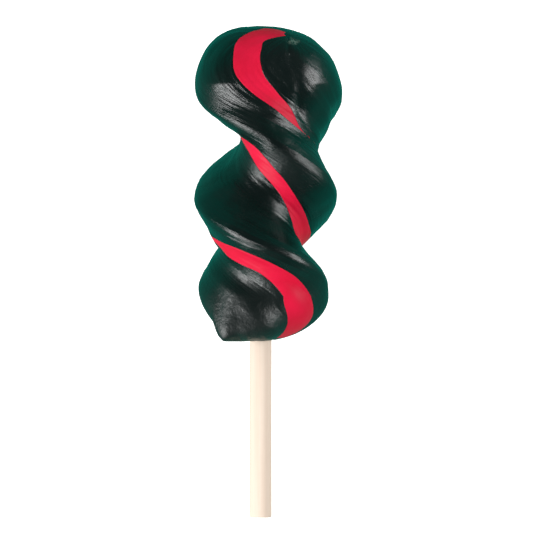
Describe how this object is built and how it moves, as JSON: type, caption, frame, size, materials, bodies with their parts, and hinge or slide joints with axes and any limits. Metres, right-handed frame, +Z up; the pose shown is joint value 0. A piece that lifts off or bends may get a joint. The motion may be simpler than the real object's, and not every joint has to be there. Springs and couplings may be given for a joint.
{
  "type": "twist lollipop",
  "caption": "Hard candy lollipop: a thick two-lobed bar of dark green-black candy twisted left-handed to a pulled tip, red stripes let into its faces, on a plain round wooden stick",
  "frame": {"origin": "middle of the underside of the whole lollipop's box, on the surface it lies on", "axes": "+Y from the stick's free end to the candy's tip, +Z up toward the shown side, +X to the right as seen from above with the tip away from the viewer"},
  "size_m": [0.0334, 0.1114, 0.0331],
  "materials": {
    "dark_candy": "glossy hard candy, very dark green-black, faint streaks along the twist",
    "red_candy": "smooth opaque crimson candy with a soft shine",
    "birch_stick": "plain unvarnished birch dowel, fine grain along its length"
  },
  "bodies": {
    "root": {"candy_body": "dark_candy", "red_stripe_front": "red_candy", "red_stripe_back": "red_candy", "stick": "birch_stick"}
  },
  "joints": []
}
